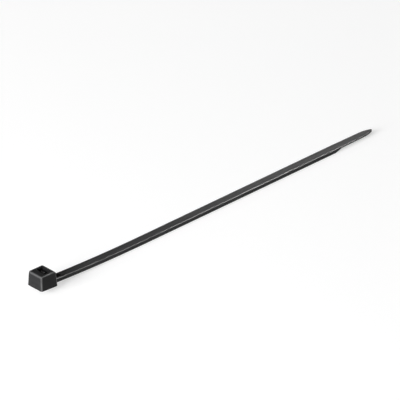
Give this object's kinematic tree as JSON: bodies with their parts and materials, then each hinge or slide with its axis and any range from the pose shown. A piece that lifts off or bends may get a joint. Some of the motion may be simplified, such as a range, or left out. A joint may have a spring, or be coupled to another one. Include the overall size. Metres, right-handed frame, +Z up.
{
  "type": "cable tie",
  "caption": "Black moulded cable tie: a small tapered head with a locking pawl in its slot, and a long narrow strap with fine teeth underneath and a pointed tail.",
  "frame": {"origin": "middle of the slot's mouth, in the underside of the head", "axes": "+X level along the strap to its tip, +Z up from the surface that the tie lies on, toothed side down; the head leans 3.6 degrees about Y towards the tip"},
  "size_m": [0.1105, 0.0054, 0.0051],
  "materials": {
    "black_nylon": "satin"
  },
  "bodies": {
    "root": {"cable_tie": "black_nylon"}
  },
  "joints": []
}
